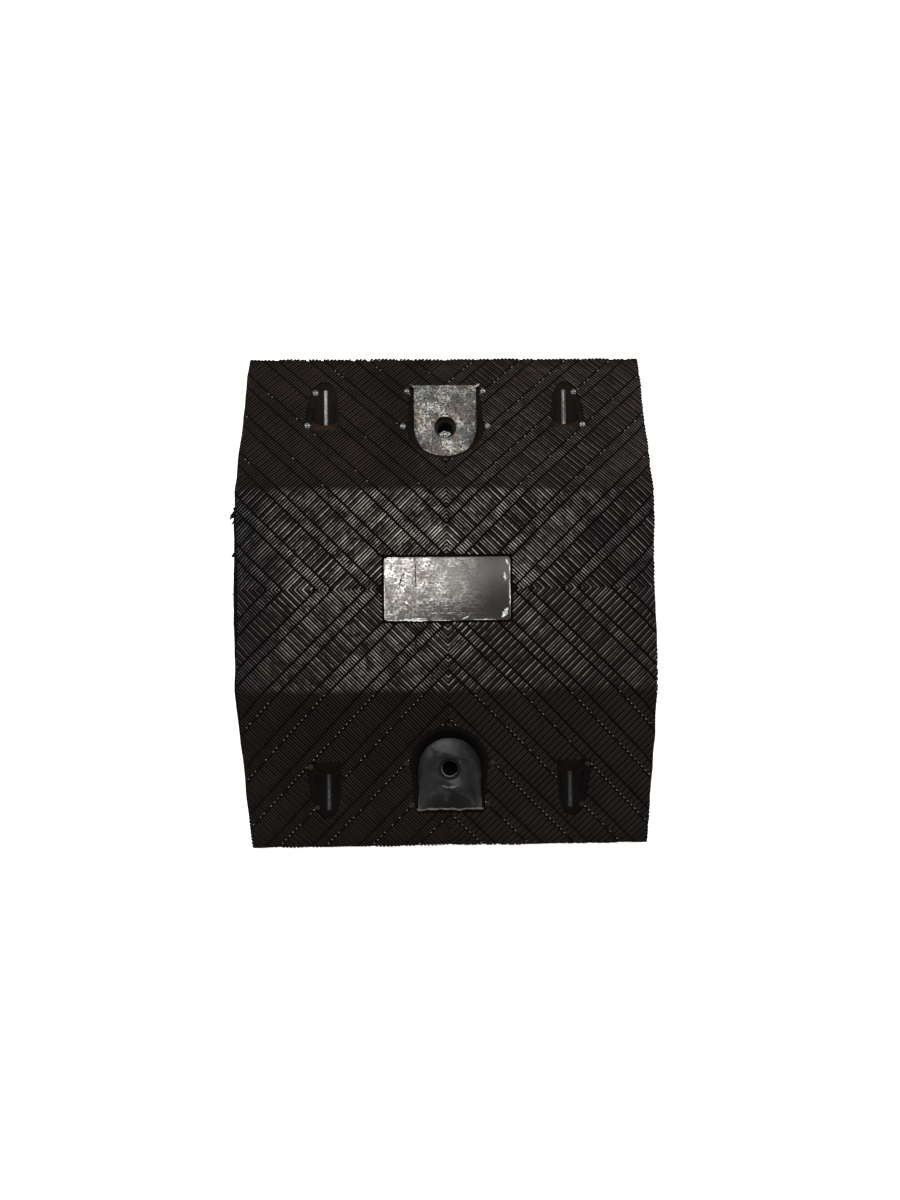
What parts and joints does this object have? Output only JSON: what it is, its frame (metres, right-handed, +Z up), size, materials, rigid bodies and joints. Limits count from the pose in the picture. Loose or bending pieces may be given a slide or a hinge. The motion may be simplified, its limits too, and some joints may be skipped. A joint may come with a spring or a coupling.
{
  "type": "rubber speed bump module",
  "caption": "Bolt-down rubber speed bump module with a flat top, two ramps, a chevron tread, recessed bolt seats and empty reflector scoops.",
  "frame": {"origin": "on the ground, under the middle of the module", "axes": "+Y along the direction of travel, +Z up, X across the lane"},
  "size_m": [0.4, 0.5, 0.05],
  "materials": {
    "rubber": "moulded recycled rubber, matt in the grooves, polished and dusty on the ribs",
    "panel": "blank panel, worn semi-gloss with stains and scratches",
    "seat_plate": "worn semi-gloss steel with mottled stains",
    "sleeve": "turned steel, dirty in the bore"
  },
  "bodies": {
    "root": {"rubber_body": "rubber", "centre_panel": "panel", "seat_plate_front": "seat_plate", "seat_plate_rear": "seat_plate", "bolt_sleeve_front": "sleeve", "bolt_sleeve_rear": "sleeve"}
  },
  "joints": []
}
